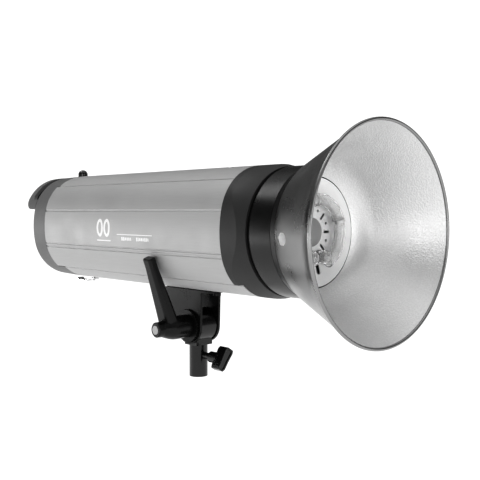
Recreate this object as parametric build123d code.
from build123d import *
from math import acos, asin, cos, degrees, radians, sin, sqrt, tan
import os

os.makedirs("parts", exist_ok=True)

# A mains studio flash head with a bell reflector, on a tilt bracket with a stand socket.
# +X is the way the light goes, +Z is up, the origin is the mouth of the stand socket's bore.
# Millimetres.

# Driving dimensions
AXIS_Z = 176.0            # lamp axis above the socket's mouth
PIVOT_Z = 61.5            # tilt bolt above the socket's mouth
HALF_ACROSS = 71.0        # body axis to the middle of a side
SIDE_R = 115.0            # bow of each side
CORNER_R = 58.6           # radius of each corner
PANEL_T = 2.2             # aluminium panels
SEAM_ANGLE = 47.5         # seams, up and down from the horizontal
SEAM_GAP = 0.25           # degrees left open on each side of a seam

SIDE_REAR = -242.5        # rear edges of the panels
TOP_REAR = -237.0
BOTTOM_REAR = -225.0
PANEL_FRONT = 118.0
BOTTOM_FRONT = 131.0
BEZEL_FRONT = 153.0
CAP_REAR = -277.0
CAP_TAPER = 0.8
CAP_WALL = 2.5
CAP_LIP = 4.0

BARREL_R = 64.4           # reflector mount
BARREL_BORE = 60.4
BARREL_FRONT = 184.4
FLANGE_X = 182.2
GROOVE = (174.0, 180.5)   # bayonet groove inside the barrel
GROOVE_R = 62.8
RING_R = 68.3
RING_REAR = 158.2
RING_FRONT = 186.9
DECK_X = 137.0            # bulkhead behind the reflector mount
PLATE_X = 178.5           # front plate
PLATE_T = 1.5
PLATE_FLAT_R = 34.0
PLATE_R = 55.9
PLATE_RISE = 5.8          # from the flat middle of the plate out to its rim

THROAT_X = 185.4          # reflector
THROAT_R = 57.2
FLARE_X = 205.0
RIM_X = 271.0
RIM_R = 105.8
FLARE_ANGLE = 24.7
RIM_WIRE = 1.7
COLLAR_FRONT = 200.4

TUBE_RING_R = 33.5        # ring flash tube
TUBE_X = 189.0
TUBE_R = 6.0
TUBE_WALL = 1.1
TUBE_END = 24.0           # degrees from straight down to each end
TUBE_LEG = (27.0, 21.0)   # radius and degrees from straight down, to each leg

SOCKET_R = 11.0           # stand socket
SPIGOT_R = 8.1
SOCKET_TOP = 38.0
SPIGOT_DEPTH = 36.0
SCREW_Z = 25.5
EAR_R = 21.5              # tilt bracket
EAR_IN = 12.5
EAR_T = 3.0
BOLT_R = 4.0
RUN = 0.05                # running clearance on shafts
PANEL_BACK = -273.0       # outside of the rear control panel
PANEL_BACK_T = 2.5

# Layout inside, on the rear panel and underneath
LUG_ANGLE = 40.0
CLIP_ANGLES = (20.0, 100.0, 180.0)
LAMP_HOLDER_R = 17.0
LAMP_HOLE_R = 14.8
ROD_PLACES = ((0, 58), (0, -58), (58, 0), (-58, 0))
ROD_REAR = -235.0
CAN_STARTS = (-112.0, -14.0)
SCREW_FRONT_X = 81.0
SCREW_REAR_X = -215.0
BRACKET_SCREWS_X = (-38.0, 34.0)
FOOT_X = -208.0
FOOT_Y = -15.0
UMBRELLA_X = 213.5
UMBRELLA_DROP = -4.0
POWER_DIAL = (-27.0, 4.0)
LAMP_DIAL = (28.0, 4.0)
TEST_BUTTON = (0.0, 12.0)
MODE_BUTTONS = ((-8.0, -6.0), (8.0, -6.0))
DISPLAY = (0.0, 30.0)
READY_LAMP = (26.0, 26.0)
INLET = (-16.0, -41.0)
FUSE = (9.0, -46.0)
SYNC = (-34.0, -20.0)
SYNC_R = 3.2
SYNC_DEPTH = 12.0
ROCKER = (29.0, -32.0)
ROCKER_TILT = 8.0


def save(name, shape):
    export_step(shape, f"parts/{name}.step")


# ---------------------------------------------------------------- section helpers

def polar(radius, angle):
    return (radius * cos(radians(angle)), radius * sin(radians(angle)))


def corner_geometry():
    """Half angle of a side arc, and how far a corner's centre lies out along each axis."""
    gap = SIDE_R - CORNER_R
    half = degrees(acos((SIDE_R - HALF_ACROSS) / (gap * sqrt(2)))) - 45
    return half, gap * sin(radians(half))


def body_section(inset):
    """Rounded square with bowed sides: eight tangent arcs, moved in by inset."""
    half, corner = corner_geometry()
    side_centre = HALF_ACROSS - SIDE_R
    arcs = []
    for turn in range(0, 360, 90):
        side = [Vector(side_centre, 0) + Vector(*polar(SIDE_R - inset, a)) for a in (-half, 0, half)]
        bend = [Vector(corner, corner) + Vector(*polar(CORNER_R - inset, a)) for a in (half, 45, 90 - half)]
        for points in (side, bend):
            arcs.append(ThreePointArc(*[point.rotate(Axis.Z, turn) for point in points]))
    return make_face(arcs)


def surface_radius(angle):
    """Distance from the body's axis to its surface, at an angle from the horizontal."""
    half, corner = corner_geometry()
    folded = abs((angle + 45) % 90 - 45)
    reach = SIDE_R * sin(radians(half))
    along = HALF_ACROSS - SIDE_R + SIDE_R * cos(radians(half))
    if folded < degrees(asin(reach / sqrt(reach ** 2 + along ** 2))):
        centre, radius = Vector(HALF_ACROSS - SIDE_R, 0), SIDE_R
    else:
        centre, radius = Vector(corner, corner), CORNER_R
    ray = Vector(*polar(1, folded))
    middle = centre.dot(ray)
    return middle + sqrt(middle ** 2 - centre.dot(centre) + radius ** 2)


def wedge(start, stop, reach=140.0):
    """Pie slice between two angles, wide enough to hold the body."""
    count = 1 + int((stop - start) // 40)
    rim = [polar(reach, start + (stop - start) * i / count) for i in range(count + 1)]
    return make_face(Polyline((0, 0), *rim, close=True))


def along_x(section, start, stop, z=AXIS_Z):
    """A section in the YZ plane, drawn out from start to stop along X."""
    return Pos(start, 0, z) * extrude(Plane.YZ * section, amount=stop - start)


def along_y(section, start, stop):
    """A section drawn as (x, z), drawn out from start to stop along Y."""
    return extrude(Plane(origin=(0, start, 0), x_dir=(1, 0, 0), z_dir=(0, -1, 0)) * section,
                   amount=start - stop)


def turned(points):
    """A closed outline of (x, radius) points turned about the lamp's axis."""
    return Pos(0, 0, AXIS_Z) * revolve(Plane.XZ * make_face(Polyline(*points, close=True)), Axis.X)


def crown(base_r, base, top):
    """Middle point of the arc from (base_r, base) to the apex (0, top), centred on the axis."""
    rise = top - base
    radius = (base_r ** 2 + rise ** 2) / (2 * rise)
    half = asin(base_r / radius) / 2
    if rise > radius:
        half = radians(90) - half
    return radius * sin(half), top - radius * (1 - cos(half))


def disc_x(radius, start, stop, y=0.0, z=0.0):
    """A cylinder along X, placed from the lamp's axis."""
    return along_x(Pos(y, z) * Circle(radius), start, stop)


def hollow_x(radius, bore, start, stop, y=0.0, z=0.0):
    return disc_x(radius, start, stop, y, z) - disc_x(bore, start - 1, stop + 1, y, z)


def box_x(width, height, start, stop, y=0.0, z=0.0, corner=0.0):
    section = RectangleRounded(width, height, corner) if corner else Rectangle(width, height)
    return along_x(Pos(y, z) * section, start, stop)


def ring_of(count, radius, shape, phase=0.0):
    """Copies of a sketch, evenly spaced round a circle and turned with it."""
    return [Rot(0, 0, phase + 360 * i / count) * Pos(radius, 0) * shape for i in range(count)]


# ---------------------------------------------------------------- casing

def panel(start, stop, rear, front, grooves=()):
    """One casing panel, with a small bevel along its seams and long grooves in its face."""
    section = (body_section(0) - body_section(PANEL_T)) & wedge(start + SEAM_GAP, stop - SEAM_GAP)
    cuts = [(start, 0.9, 0.0), (stop, 0.9, 0.0)] + list(grooves)
    for angle, radius, out in cuts:
        section -= Pos(*polar(surface_radius(angle) + out, angle)) * Circle(radius)
    return along_x(section, rear, front)


def casing():
    broad, narrow = (2.2, 1.35), (1.3, 0.7)
    for name, middle, up in (("right_side_panel", 180, -1), ("left_side_panel", 0, 1)):
        grooves = [(middle + up * 17.5, *broad), (middle - up * 17.8, *narrow), (middle - up * 21.0, *broad)]
        save(name, panel(middle - SEAM_ANGLE, middle + SEAM_ANGLE, SIDE_REAR, PANEL_FRONT, grooves))
    top = panel(SEAM_ANGLE, 180 - SEAM_ANGLE, TOP_REAR, PANEL_FRONT)
    bottom = panel(180 + SEAM_ANGLE, 360 - SEAM_ANGLE, BOTTOM_REAR, BOTTOM_FRONT)
    screws = Part()
    top_holes = Part()
    for x in (SCREW_FRONT_X, SCREW_REAR_X):
        for y in (-21.0, 21.0):
            lift = AXIS_Z + HALF_ACROSS - SIDE_R + sqrt(SIDE_R ** 2 - y ** 2)
            top_holes += Pos(x, y, lift) * Cylinder(1.7, 16) + Pos(x, y, lift + 3.7) * Cylinder(3.3, 10)
            head = Pos(x, y, lift - 0.5) * Cylinder(3.0, 1.4) - Pos(x, y, lift + 0.3) * Box(4, 0.9, 1.2)
            screws += head + Pos(x, y, lift - 4.0) * Cylinder(1.5, 6.0)
    top -= top_holes
    for x in BRACKET_SCREWS_X:
        bottom -= Pos(x, 0, AXIS_Z - HALF_ACROSS) * Cylinder(2.7, 10)
    bottom -= Pos(FOOT_X, FOOT_Y, AXIS_Z - HALF_ACROSS) * Cylinder(1.6, 10)
    save("top_panel", top)
    save("bottom_panel", bottom)
    save("panel_screws", screws - top)


def bezel():
    dome_r = 190.0
    rise = 7.0
    run = BEZEL_FRONT - PANEL_FRONT
    lean = degrees(asin(sqrt(run ** 2 + rise ** 2) / 2 / dome_r))
    chord = degrees(asin(rise / sqrt(run ** 2 + rise ** 2)))
    mid = Vector(PANEL_FRONT + run / 2, RING_R + rise / 2) + \
        Vector(sin(radians(chord)), cos(radians(chord))) * dome_r * (1 - cos(radians(lean)))
    dome = make_face([
        Line((PANEL_FRONT - 12, RING_R + rise + 2), (PANEL_FRONT, RING_R + rise)),
        ThreePointArc((PANEL_FRONT, RING_R + rise), mid, (BEZEL_FRONT, RING_R)),
        Line((BEZEL_FRONT, RING_R), (BEZEL_FRONT, 0)),
        Line((BEZEL_FRONT, 0), (PANEL_FRONT - 12, 0)),
        Line((PANEL_FRONT - 12, 0), (PANEL_FRONT - 12, RING_R + rise + 2)),
    ])
    outside = along_x(body_section(0), PANEL_FRONT, BEZEL_FRONT) & \
        (Pos(0, 0, AXIS_Z) * revolve(Plane.XZ * dome, Axis.X))
    lip = along_x(body_section(PANEL_T + 0.1) - body_section(PANEL_T + 3), PANEL_FRONT - 10, PANEL_FRONT + 2)
    tongue = along_x((body_section(-2) - body_section(PANEL_T + 0.1)) &
                     wedge(180 + SEAM_ANGLE, 360 - SEAM_ANGLE), PANEL_FRONT - 1, BOTTOM_FRONT)
    bore = disc_x(BARREL_R + 0.2, PANEL_FRONT, BEZEL_FRONT + 1)
    save("front_bezel", outside + lip - tongue - bore)


def tapered(front_inset, rear_inset, front, rear):
    faces = [Pos(x, 0, AXIS_Z) * (Plane.YZ * body_section(inset))
             for x, inset in ((rear, rear_inset), (front, front_inset))]
    return loft(faces, ruled=True)


def rear_cap():
    outside = tapered(0, CAP_TAPER, SIDE_REAR, CAP_REAR)
    outside = fillet(outside.faces().sort_by(Axis.X)[0].edges(), 2.2)
    inside = tapered(CAP_WALL, CAP_WALL + CAP_TAPER, SIDE_REAR, CAP_REAR + CAP_LIP)
    window = along_x(body_section(9.0), CAP_REAR - 1, CAP_REAR + CAP_LIP + 1)
    cap = outside - inside - window
    cap += along_x(body_section(PANEL_T + 0.1) - body_section(PANEL_T + 2.6), SIDE_REAR - 8, SIDE_REAR + 9)
    skin = body_section(0) - body_section(PANEL_T + 0.4)
    top_tongue = skin & wedge(SEAM_ANGLE + SEAM_GAP, 180 - SEAM_ANGLE - SEAM_GAP)
    low_tongue = skin & wedge(180 + SEAM_ANGLE + SEAM_GAP, 360 - SEAM_ANGLE - SEAM_GAP)
    cap += along_x(top_tongue, SIDE_REAR, TOP_REAR - 0.2)
    cap += along_x(low_tongue, SIDE_REAR, BOTTOM_REAR - 0.2)
    sensor_x = -259.0
    cap -= Pos(sensor_x, 0, AXIS_Z + HALF_ACROSS) * Cylinder(4.5, 16)
    save("rear_cap", cap)

    dome_r, dome_h = 6.6, 12.0
    outline = make_face([
        Line((0, 0), (dome_r, 0)),
        Line((dome_r, 0), (dome_r, dome_h - 5.5)),
        ThreePointArc((dome_r, dome_h - 5.5), crown(dome_r, dome_h - 5.5, dome_h), (0, dome_h)),
        Line((0, dome_h), (0, 0)),
    ])
    dome = revolve(Plane.XZ * outline, Axis.Z) + Pos(0, 0, -2) * Cylinder(4.4, 6)
    save("slave_sensor_dome", Pos(sensor_x, 0, AXIS_Z + HALF_ACROSS - 2.6) * dome - cap)


def handle():
    """Arch over the top of the rear cap, standing out behind it on two legs."""
    arch_start, arch_stop = 13.0, 167.0
    back, front = -302.6, -290.6
    low, leg_top = AXIS_Z + 24.0, AXIS_Z + 37.0
    bend, hollow = 15.0, 6.0
    top = AXIS_Z + 90.0
    k = 1 - cos(radians(45))
    side_view = make_face([
        Line((CAP_REAR, low), (back + bend, low)),
        ThreePointArc((back + bend, low), (back + bend * k, low + bend * k), (back, low + bend)),
        Line((back, low + bend), (back, top)),
        Line((back, top), (front, top)),
        Line((front, top), (front, leg_top + hollow)),
        ThreePointArc((front, leg_top + hollow), (front + hollow * k, leg_top + hollow * k),
                      (front + hollow, leg_top)),
        Line((front + hollow, leg_top), (CAP_REAR, leg_top)),
        Line((CAP_REAR, leg_top), (CAP_REAR, low)),
    ])
    band = (body_section(1.0) - body_section(5.5)) & wedge(arch_start, arch_stop)
    arch = along_x(band, back, CAP_REAR) & along_y(side_view, 90, -90)
    save("rear_handle", arch)
    liner = (body_section(5.5) - body_section(24.0)) & wedge(arch_start + 15, arch_stop - 15)
    save("handle_liner", along_x(liner, back + 1.2, front - 0.4))


def foot():
    """Leaf under the rear of the bottom panel, folded down to a flat foot."""
    top = AXIS_Z - HALF_ACROSS - 0.2
    leaf_t, drop, width = 1.4, 3.6, 10.0
    upper = [(FOOT_X + 6, top), (FOOT_X - 5, top), (FOOT_X - 11, top - drop), (FOOT_X - 32, top - drop),
             (FOOT_X - 36, top - drop + 2.4)]
    lower = [(x - 0.3, z - leaf_t) for x, z in reversed(upper)]
    leaf = along_y(make_face(Polyline(*upper, *lower, close=True)), FOOT_Y + width / 2, FOOT_Y - width / 2)
    rivet = Pos(FOOT_X, FOOT_Y, top - 0.4) * Cylinder(1.5, 7.0)
    save("rear_foot", leaf + rivet + Pos(FOOT_X, FOOT_Y, top - leaf_t - 0.4) * Cylinder(2.8, 1.0))


# ---------------------------------------------------------------- reflector mount

def mount():
    shoulder_r, flange_r = 65.9, 66.5
    shell = turned([(DECK_X + 3, BARREL_BORE), (DECK_X + 3, BARREL_R), (BEZEL_FRONT + 0.2, BARREL_R),
                    (BEZEL_FRONT + 0.2, shoulder_r), (RING_REAR - 0.3, shoulder_r), (RING_REAR - 0.3, BARREL_R),
                    (FLANGE_X, BARREL_R), (FLANGE_X, flange_r),
                    (BARREL_FRONT, flange_r),
                    (BARREL_FRONT, BARREL_BORE)])
    shell -= hollow_x(GROOVE_R, 50.0, *GROOVE)
    for turn in (0, 120, 240):
        entry = (Circle(GROOVE_R) - Circle(50)) & wedge(LUG_ANGLE + turn + 26, LUG_ANGLE + turn + 44)
        shell -= along_x(entry, GROOVE[1] - 1, BARREL_FRONT + 1)
    save("mount_barrel", shell)
    ring = turned([(RING_REAR, BARREL_R + 0.3), (RING_REAR, RING_R - 0.6), (RING_REAR + 0.6, RING_R),
                   (RING_FRONT - 0.6, RING_R), (RING_FRONT, RING_R - 0.6), (RING_FRONT, flange_r + 0.3),
                   (FLANGE_X - 0.3, flange_r + 0.3), (FLANGE_X - 0.3, BARREL_R + 0.3)])
    save("lock_ring", ring)


def front_deck():
    """Bulkhead with a cup standing on it that carries the front plate."""
    rim_x = PLATE_X + PLATE_RISE
    deck = disc_x(BARREL_R, DECK_X, DECK_X + 3)
    deck += hollow_x(PLATE_R - 0.2, PLATE_R - 2.2, DECK_X + 3, rim_x)
    deck -= turned([(PLATE_X, 0), (PLATE_X, PLATE_FLAT_R), (rim_x, PLATE_R), (rim_x + 5, PLATE_R), (rim_x + 5, 0)])
    deck -= disc_x(LAMP_HOLDER_R + 0.2, DECK_X - 1, DECK_X + 4)
    for y, z in ROD_PLACES:
        deck -= disc_x(3.1, DECK_X - 1, DECK_X + 4, y, z)
    save("front_deck", deck)

    plate = Circle(PLATE_R + 1) - Circle(LAMP_HOLE_R)
    for slot in ring_of(8, 22.5, SlotOverall(9.0, 2.8)):
        plate -= slot
    for vent in ring_of(8, 23.5, Circle(1.6), 22.5):
        plate -= vent
    plate -= Pos(8.0, -38.2) * Rot(0, 0, 90) * SlotOverall(10.5, 5.5)
    for side in (-1, 1):
        plate -= Pos(*tube_leg(side)) * Circle(TUBE_R + 0.6)
    for angle in CLIP_ANGLES:
        plate -= Pos(*polar(TUBE_RING_R + 10.5, angle)) * Circle(1.3)
    dish = turned([(PLATE_X, 0), (PLATE_X, PLATE_FLAT_R), (rim_x, PLATE_R), (rim_x + PLATE_T, PLATE_R),
                   (PLATE_X + PLATE_T, PLATE_FLAT_R), (PLATE_X + PLATE_T, 0)])
    save("front_plate", dish & along_x(plate, PLATE_X - 1, rim_x + PLATE_T + 1))


def lamp_holder():
    holder = turned([(100, 0), (100, 15), (112, 15), (112, LAMP_HOLDER_R), (142, LAMP_HOLDER_R), (142, 13.8),
                     (116, 13.8), (116, 6), (104, 6), (104, 0)])
    save("lamp_holder", holder)
    lamp = make_face([
        Line((118, 0), (118, 9)),
        Line((118, 9), (120, 13.2)),
        Line((120, 13.2), (142, 13.2)),
        Line((142, 13.2), (150, 10.5)),
        Spline((150, 10.5), (158, 12.0), (168, 14.4), tangents=((1, 0), (1, 0.1))),
        Line((168, 14.4), (180.5, 14.4)),
        ThreePointArc((180.5, 14.4), crown(14.4, 180.5, 184.5)[::-1], (184.5, 0)),
        Line((184.5, 0), (118, 0)),
    ])
    save("modelling_lamp", Pos(0, 0, AXIS_Z) * revolve(Plane.XZ * lamp, Axis.X))


def tube_leg(side):
    """Where a leg of the flash tube goes back through the plate, from the axis."""
    return polar(TUBE_LEG[0], -90 + side * TUBE_LEG[1])


def flash_tube():
    def hollow_ring(radius, bulb, tail):
        """Ring with a bulb and a straight leg back at each end."""
        start = Pos(TUBE_X, 0, AXIS_Z) * Rot(-90 + TUBE_END, 0, 0) * Pos(0, TUBE_RING_R, 0)
        circle = start * Plane.XY * Circle(radius)
        ring = revolve(circle, Axis((0, 0, AXIS_Z), (1, 0, 0)), 360 - 2 * TUBE_END)
        for side in (-1, 1):
            y, z = tube_leg(side)
            ring += Pos(TUBE_X, y, z + AXIS_Z) * Sphere(bulb)
            ring += disc_x(radius, tail, TUBE_X, y, z)
        return ring

    tail = 166.0
    save("flash_tube", hollow_ring(TUBE_R, 7.0, tail) - hollow_ring(TUBE_R - TUBE_WALL, 5.9, tail - 1))
    electrodes, sockets = Part(), Part()
    for side in (-1, 1):
        y, z = tube_leg(side)
        electrodes += disc_x(3.2, 182.0, 191.0, y, z) + disc_x(1.2, tail - 6, 182.5, y, z)
        sockets += hollow_x(9.5, TUBE_R + 0.1, tail, 177.5, y, z)
        sockets += disc_x(9.5, tail - 12, tail, y, z) - disc_x(1.3, tail - 7, tail + 1, y, z)
    save("electrodes", electrodes)
    save("flash_tube_sockets", sockets)

    clips = Part()
    band = Circle(TUBE_R + 0.9) - Circle(TUBE_R + 0.1)
    for angle in CLIP_ANGLES:
        clip = Pos(TUBE_X, TUBE_RING_R, AXIS_Z) * extrude(band, 1.5, both=True)
        post = Pos((PLATE_X + TUBE_X - 5) / 2 + 1.5, TUBE_RING_R + 10.5, AXIS_Z) * \
            Rot(0, 90, 0) * Cylinder(1.2, TUBE_X - 2 - PLATE_X)
        arm = Pos(TUBE_X - 3, TUBE_RING_R + 8.9, AXIS_Z) * Box(1.6, 5.0, 2.4)
        blank = clip + post + arm
        clips += Pos(0, 0, AXIS_Z) * Rot(angle, 0, 0) * Pos(0, 0, -AXIS_Z) * blank
    save("tube_clips", clips)


# ---------------------------------------------------------------- reflector

def flare(dx=0.0, dr=0.0):
    """Inner line of the reflector from throat to rim, moved by dx and dr."""
    flare_r = RIM_R - (RIM_X - FLARE_X) * tan(radians(FLARE_ANGLE))
    throat, bend = Vector(THROAT_X + dx, THROAT_R + dr), Vector(FLARE_X + dx, flare_r + dr)
    chord = bend - throat
    sweep = degrees(asin(chord.Y / chord.length)) - FLARE_ANGLE
    radius = chord.length / 2 / sin(radians(sweep))
    sagitta = radius * (1 - cos(radians(sweep)))
    normal = Vector(-chord.Y, chord.X).normalized()
    return throat, (throat + bend) * 0.5 + normal * sagitta, bend, Vector(RIM_X + dx, RIM_R + dr)


def reflector():
    inner, outer = flare(), flare(-0.63, 0.9)
    sheet = make_face([
        ThreePointArc(inner[0], inner[1], inner[2]), Line(inner[2], inner[3]), Line(inner[3], outer[3]),
        Line(outer[3], outer[2]), ThreePointArc(outer[2], outer[1], outer[0]), Line(outer[0], inner[0]),
    ])
    bead = Pos(RIM_X - 0.2, RIM_R + 0.9) * Circle(RIM_WIRE)
    shell = Pos(0, 0, AXIS_Z) * revolve(Plane.XZ * (sheet + bead), Axis.X)
    hole = along_y(Pos(UMBRELLA_X, AXIS_Z + UMBRELLA_DROP) * SlotOverall(17, 12), 0, -100)
    shell -= hole
    save("reflector_shell", shell)

    core_line = flare(-0.7, 1.05)
    core = make_face([
        ThreePointArc(core_line[0], core_line[1], core_line[2]),
        Line(core_line[2], (core_line[2].X, 0)),
        Line((core_line[2].X, 0), (core_line[0].X, 0)),
        Line((core_line[0].X, 0), core_line[0]),
    ])
    core = Pos(0, 0, AXIS_Z) * revolve(Plane.XZ * core, Axis.X)
    spigot_r = BARREL_BORE - 0.35
    step, flange_r = (BARREL_FRONT + 0.5, RING_FRONT + 0.5), 66.3
    collar = turned([(170, spigot_r - 2.6), (170, spigot_r), (step[0], spigot_r), (step[0], flange_r),
                     (step[1], flange_r), (step[1], RING_R + 0.2), (COLLAR_FRONT, RING_R + 4.6),
                     (COLLAR_FRONT, spigot_r - 2.6)])
    collar -= core
    for turn in (0, 120, 240):
        lug = (Circle(GROOVE_R - 0.5) - Circle(spigot_r - 1)) & wedge(LUG_ANGLE + turn, LUG_ANGLE + turn + 12)
        collar += along_x(lug, GROOVE[0] + 1.4, GROOVE[0] + 5.2)
    save("reflector_collar", collar)


# ---------------------------------------------------------------- inside the body

def capacitor_bank():
    spread, can_r, length = 25.8, 25.0, 88.0
    places = [(y * spread, z * spread) for y in (-1, 1) for z in (-1, 1)]
    cans = Part()
    for start in CAN_STARTS:
        for y, z in places:
            can = disc_x(can_r, start, start + length, y, z)
            can += disc_x(4, start + length, start + length + 4, y - 9, z)
            can += disc_x(4, start + length, start + length + 4, y + 9, z)
            cans += can
    save("capacitors", cans)
    clamps = Part()
    for start in CAN_STARTS:
        clamp = body_section(PANEL_T + 3.6)
        for y, z in places:
            clamp -= Pos(y, z) * Circle(can_r + 0.1)
        for y, z in ROD_PLACES:
            clamp -= Pos(y, z) * Circle(3.1)
        clamps += along_x(clamp, start + 40, start + 44)
    save("capacitor_clamps", clamps)
    rods = Part()
    for y, z in ROD_PLACES:
        rods += disc_x(3.0, ROD_REAR, DECK_X + 2.8, y, z)
    save("tie_rods", rods)


def electronics():
    board = Pos(-160, 0, AXIS_Z - 22) * Box(76, 92, 1.6)
    parts = Part()
    for x, y, long, wide, tall in ((-180, -26, 20, 14, 18), (-180, 26, 24, 18, 26), (-140, -28, 18, 22, 14),
                                   (-136, 26, 12, 26, 20)):
        parts += Pos(x, y, AXIS_Z - 21.2 + tall / 2) * Box(long, wide, tall)
    save("power_board", board + parts)
    core = Pos(-158, 0, AXIS_Z + 1) * Box(30, 26, 44) - Pos(-158, 0, AXIS_Z + 1) * Box(16, 40, 28)
    winding = Pos(-158, 0, AXIS_Z + 1) * (Box(40, 13.6, 27.6) - Box(15.8, 20, 15))
    save("trigger_transformer", core)
    save("transformer_winding", winding - core)


def fan():
    rear, front = -222.0, -206.0
    frame = RectangleRounded(80, 80, 4) - Circle(38.2)
    for y in (-35, 35):
        for z in (-35, 35):
            frame -= Pos(y, z) * Circle(2.2)
    struts = Rectangle(78, 3) + Rectangle(3, 78) + Circle(16) - Circle(2.0 + RUN)
    bush = Circle(5) - Circle(2.0 + RUN)
    save("fan_frame", along_x(frame, rear, front) + along_x(struts, rear, rear + 2.5) +
         along_x(bush, rear + 2.5, rear + 5))
    rotor = disc_x(16, rear + 5.5, front) - disc_x(14, rear + 4, front - 2)
    rotor += disc_x(2.0, rear + 0.5, front - 1)
    for i in range(7):
        blade = Pos(0, 25.8, 0) * Rot(0, 38, 0) * Box(13, 21.6, 1.4)
        rotor += Pos((rear + front) / 2 + 2.4, 0, AXIS_Z) * Rot(i * 360 / 7, 0, 0) * blade
    save("fan_rotor", rotor & disc_x(37.4, rear + 0.4, front + 2))


# ---------------------------------------------------------------- rear control panel

def control_panel():
    plate = body_section(5.6)
    for y, z, radius in ((POWER_DIAL[0], POWER_DIAL[1], 3.2), (LAMP_DIAL[0], LAMP_DIAL[1], 3.2),
                         (TEST_BUTTON[0], TEST_BUTTON[1], 5.1), (FUSE[0], FUSE[1], 7.1),
                         (SYNC[0], SYNC[1], 5.1), (READY_LAMP[0], READY_LAMP[1], 2.1)):
        plate -= Pos(y, z) * Circle(radius)
    for y, z in MODE_BUTTONS:
        plate -= Pos(y, z) * Circle(4.1)
    plate -= Pos(*DISPLAY) * RectangleRounded(34.2, 15.2, 1.6)
    plate -= Pos(*INLET) * RectangleRounded(27.2, 20.2, 2.6)
    plate -= Pos(*ROCKER) * Rectangle(13.2, 22.2)
    for i in range(9):
        plate -= Pos(-28 + 7 * i, 48) * SlotOverall(11, 2.6, rotation=90)
    save("rear_panel", along_x(plate, PANEL_BACK, PANEL_BACK + PANEL_BACK_T))

    window = box_x(34, 15, PANEL_BACK, PANEL_BACK + PANEL_BACK_T, *DISPLAY, corner=1.5)
    save("display_window", window + box_x(37, 18, PANEL_BACK + PANEL_BACK_T, PANEL_BACK + 4, *DISPLAY))
    lens = disc_x(2.0, PANEL_BACK - 0.8, PANEL_BACK + PANEL_BACK_T, *READY_LAMP)
    save("ready_lamp", lens + disc_x(3.0, PANEL_BACK + PANEL_BACK_T, PANEL_BACK + 4, *READY_LAMP))
    inside = PANEL_BACK + PANEL_BACK_T
    pots = Part()
    for (name, place, radius) in (("power_dial", POWER_DIAL, 13.0), ("lamp_dial", LAMP_DIAL, 10.5)):
        grip = Circle(radius) + ring_of(24, radius, Circle(0.5))
        knob = along_x(Pos(*place) * grip, PANEL_BACK - 12, PANEL_BACK - 1.5)
        knob += disc_x(radius + 1.4, PANEL_BACK - 2.4, PANEL_BACK - 0.4, *place)
        knob -= box_x(1.2, radius, PANEL_BACK - 13, PANEL_BACK - 11.2, place[0], place[1] + radius / 2)
        save(name, knob + disc_x(3.0, PANEL_BACK - 2, inside + 8, *place))
        pots += hollow_x(8.5, 3.0 + RUN, inside, inside + 8, *place)
        pots += disc_x(8.5, inside + 8.3, inside + 10, *place) + \
            hollow_x(8.5, 7.5, inside + 8, inside + 8.3, *place)
    save("potentiometers", pots)
    buttons = [("test_button", TEST_BUTTON, 5.0)]
    buttons += [(f"mode_button_{i + 1}", place, 4.0) for i, place in enumerate(MODE_BUTTONS)]
    switches = Part()
    for name, place, radius in buttons:
        cap = disc_x(radius, PANEL_BACK - 4, inside + 0.5, *place)
        cap = chamfer(cap.faces().sort_by(Axis.X)[0].edges(), 0.6)
        save(name, cap + disc_x(radius + 1.2, inside + 0.3, inside + 1.3, *place) +
             disc_x(1.2, inside + 1, inside + 4.5, *place))
        switches += hollow_x(3.2, 1.3, inside + 4.0, inside + 7.0, *place)
        switches += disc_x(3.2, inside + 7.0, inside + 8.0, *place)
    save("button_switches", switches)
    board = box_x(34, 26, inside + 8.0, inside + 9.6, 0, (TEST_BUTTON[1] + MODE_BUTTONS[0][1]) / 2)
    save("button_board", board)


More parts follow.
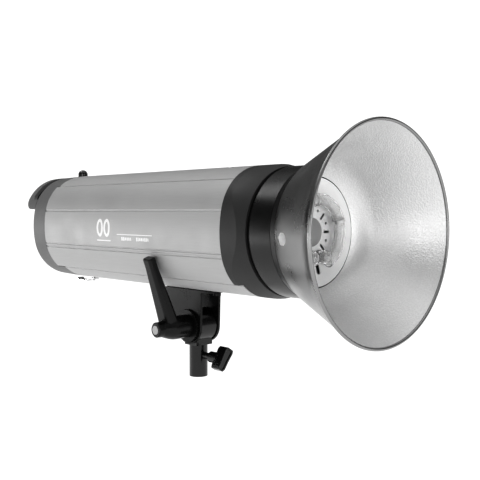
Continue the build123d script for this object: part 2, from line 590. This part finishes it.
def mains_parts():
    inside = PANEL_BACK + PANEL_BACK_T
    flange = box_x(30, 23, PANEL_BACK - 2, PANEL_BACK, *INLET, corner=2.5)
    flange += box_x(27, 20, PANEL_BACK, inside + 16, *INLET, corner=2.5)
    flange -= box_x(23.5, 16.5, PANEL_BACK - 3, inside + 13, *INLET, corner=2.0)
    for y, z in ((-7, -2), (7, -2), (0, 2)):
        pin = box_x(2.0, 4.0, PANEL_BACK + 5, inside + 14, INLET[0] + y, INLET[1] + z)
        flange += pin
    save("mains_inlet", flange)
    holder = disc_x(8.5, PANEL_BACK - 1.5, PANEL_BACK, *FUSE) + disc_x(7.0, PANEL_BACK, inside + 20, *FUSE)
    holder -= disc_x(5.6, PANEL_BACK - 2, inside + 18, *FUSE)
    save("fuse_holder", holder)
    cap = disc_x(5.5, PANEL_BACK - 4, inside + 6, *FUSE) - \
        box_x(8.4, 1.4, PANEL_BACK - 5, PANEL_BACK - 2.6, *FUSE)
    save("fuse_cap", cap)
    socket = disc_x(7.0, PANEL_BACK - 1.5, PANEL_BACK, *SYNC) + disc_x(5.0, PANEL_BACK, inside + 12, *SYNC)
    save("sync_socket", socket - disc_x(SYNC_R, PANEL_BACK - 2, PANEL_BACK - 1.5 + SYNC_DEPTH, *SYNC))
    frame = box_x(15, 25, PANEL_BACK - 1.2, PANEL_BACK, *ROCKER) + box_x(13, 22, PANEL_BACK, inside + 14, *ROCKER)
    frame -= box_x(11.2, 20.2, PANEL_BACK - 2, inside + 9, *ROCKER)
    axle_x = PANEL_BACK + 3.0
    frame += along_y(Pos(axle_x, AXIS_Z + ROCKER[1]) * Circle(1.5), ROCKER[0] + 6, ROCKER[0] - 6)
    save("rocker_housing", frame)
    half = 9.4
    outline = make_face([
        Line((-3.2, -half), (3.4, -half)), Line((3.4, -half), (5.2, 0)), Line((5.2, 0), (3.4, half)),
        Line((3.4, half), (-3.2, half)), ThreePointArc((-3.2, half), (-2.4, 0), (-3.2, -half)),
    ])
    rocker = Pos(axle_x, 0, AXIS_Z + ROCKER[1]) * Rot(0, -ROCKER_TILT, 0) * \
        (along_y(outline, 5.3, -5.3) - along_y(Circle(1.5 + RUN), 7, -7))
    save("mains_rocker", Pos(0, ROCKER[0], 0) * rocker)


# ---------------------------------------------------------------- bracket and stand socket

def bracket():
    top = AXIS_Z - HALF_ACROSS - 0.1
    rear, front, plate_front = -48.0, 23.0, 36.0
    reach = sqrt(rear ** 2 + (top - PIVOT_Z) ** 2)
    bearing = 180 - degrees(asin((top - PIVOT_Z) / reach)) + degrees(acos(EAR_R / reach))
    tangent = (EAR_R * cos(radians(bearing)), PIVOT_Z + EAR_R * sin(radians(bearing)))
    low_mid = (bearing + 360) / 2
    outline = make_face([
        Line((rear, top), (front, top)), Line((front, top), (EAR_R, PIVOT_Z)),
        ThreePointArc((EAR_R, PIVOT_Z), (EAR_R * cos(radians(low_mid)), PIVOT_Z + EAR_R * sin(radians(low_mid))),
                      tangent),
        Line(tangent, (rear, top)),
    ])
    hole = Pos(0, PIVOT_Z) * Circle(BOLT_R + RUN)
    ears = along_y(outline - hole, EAR_IN + EAR_T, EAR_IN) + along_y(outline - hole, -EAR_IN, -EAR_IN - EAR_T)
    plate = Pos((rear + plate_front) / 2, 0, top - 1.4) * Box(plate_front - rear, 2 * (EAR_IN + EAR_T), 2.8)
    yoke = ears + plate
    screws = Part()
    for x in BRACKET_SCREWS_X:
        yoke -= Pos(x, 0, top) * Cylinder(2.7, 12)
        screws += Pos(x, 0, top - 2.8 - 1.6) * Cylinder(4.6, 3.2) + Pos(x, 0, top) * Cylinder(2.6, 7.0)
    for x in BRACKET_SCREWS_X:
        screws -= extrude(Pos(x, 0, top - 7) * RegularPolygon(2.3, 6), amount=2.4)
    save("tilt_yoke", yoke)
    save("yoke_screws", screws)
    tooth_out, tooth_in, count = 19.8, 18.8, 38
    rim = [polar(tooth_out if i % 2 else tooth_in, 180 * i / count) for i in range(2 * count)]
    washer = make_face(Polyline(*rim, close=True)) - Circle(BOLT_R + RUN)
    save("toothed_washer", along_y(Pos(0, PIVOT_Z) * washer, -EAR_IN - EAR_T, -EAR_IN - EAR_T - 3))
    bolt = along_y(Pos(0, PIVOT_Z) * Circle(BOLT_R), EAR_IN + EAR_T + 2, -38)
    bolt += along_y(Pos(0, PIVOT_Z) * RegularPolygon(7.5, 6), EAR_IN + EAR_T + 5.5, EAR_IN + EAR_T)
    save("tilt_bolt", bolt)


def lever():
    face = -EAR_IN - EAR_T - 3.3
    hub_end = -64.0
    outline = make_face([
        Line((0, face), (13.6, face)),
        Line((13.6, face), (13.6, face - 8)),
        Spline((13.6, face - 8), (13.2, -42), (9.0, -56), tangents=((0, -1), (-0.3, -1))),
        Line((9.0, -56), (8.8, hub_end + 1)),
        Line((8.8, hub_end + 1), (7.8, hub_end)),
        Line((7.8, hub_end), (0, hub_end)),
        Line((0, hub_end), (0, face)),
    ])
    hub = Pos(0, 0, PIVOT_Z) * revolve(outline, Axis.Y)
    root = Vector(-2.5, -41, PIVOT_Z + 1)
    tip = Vector(2, -74.5, 145.0)
    direction = (tip - root).normalized()
    sections = []
    for share, wide, thick in ((0.0, 25.0, 17.0), (0.16, 23.0, 15.5), (0.86, 14.6, 10.4)):
        spot = Plane(origin=root + (tip - root) * share, x_dir=(1, 0, 0), z_dir=direction)
        sections.append(spot * RectangleRounded(wide, thick, thick * 0.36))
    arm = loft(sections[:2]) + loft(sections[1:], ruled=True)
    end = Plane(origin=root + (tip - root) * 0.86, x_dir=(1, 0, 0), z_dir=direction)
    knuckle = extrude(end * RectangleRounded(14.6, 10.4, 10.4 * 0.36), amount=(tip - root).length * 0.14)
    knuckle = fillet(knuckle.faces().sort_by(Axis.Z)[-1].edges(), 2.0)
    whole = hub + arm + knuckle
    whole -= along_y(Pos(0, PIVOT_Z) * Circle(BOLT_R + RUN), face + 1, -38.6)
    whole -= along_y(Pos(0, PIVOT_Z) * Circle(5.2), hub_end + 1.6, hub_end - 1)
    save("clamp_lever", whole)
    save("lever_cap", along_y(Pos(0, PIVOT_Z) * Circle(5.1), hub_end + 1.6, hub_end - 0.6))


def stand_socket():
    half = EAR_IN - 0.3
    tube = Pos(0, 0, SOCKET_TOP / 2) * Cylinder(SOCKET_R, SOCKET_TOP)
    knuckle = along_y(Pos(0, PIVOT_Z) * Circle(20.0), half, -half)
    neck = Pos(0, 0, (SOCKET_TOP + PIVOT_Z) / 2) * Box(2 * SOCKET_R, 2 * half, PIVOT_Z - SOCKET_TOP + 0.02)
    whole = tube + knuckle + neck
    whole -= Pos(0, 0, SPIGOT_DEPTH / 2 - 1) * Cylinder(SPIGOT_R, SPIGOT_DEPTH + 2)
    whole -= along_y(Pos(0, PIVOT_Z) * Circle(BOLT_R + RUN), half + 1, -half - 1)
    whole -= Pos(10, 0, SCREW_Z) * Rot(0, 90, 0) * Cylinder(BOLT_R + RUN, 12)
    save("stand_socket", whole)


def wing_screw():
    axis_plane = Plane(origin=(0, 0, SCREW_Z), x_dir=(0, 1, 0), z_dir=(1, 0, 0))

    def disc(radius, start, stop):
        return Pos(start, 0, 0) * extrude(axis_plane * Circle(radius), amount=stop - start)

    shank = disc(BOLT_R, 9.6, 24)
    hub = disc(6.6, 22, 37)
    hub = chamfer(hub.faces().sort_by(Axis.X)[0].edges(), 1.2)
    lean = Rot(0, 0, -34)
    bow_tie = Polyline((-5.2, -3), (-4.8, -10), (-3.4, -13.6), (3.4, -13.6), (5.4, -10), (5.4, 0), (6.2, 10.5),
                       (5.0, 14.2), (-4.6, 14.2), (-6.2, 10.5), close=True)
    outline = fillet(make_face(bow_tie).vertices(), 1.6)
    wing = Pos(35, 0, 0) * extrude(axis_plane * lean * outline, amount=13.5)
    recess = Pos(47.3, 0, 0) * extrude(axis_plane * lean * offset(outline, -1.9), amount=2)
    save("wing_screw", shank + hub + wing - recess)
    save("pressure_pad", disc(BOLT_R - 0.1, 8.3, 9.6))


casing()
bezel()
rear_cap()
handle()
foot()
mount()
front_deck()
lamp_holder()
flash_tube()
reflector()
capacitor_bank()
electronics()
fan()
control_panel()
mains_parts()
bracket()
lever()
stand_socket()
wing_screw()
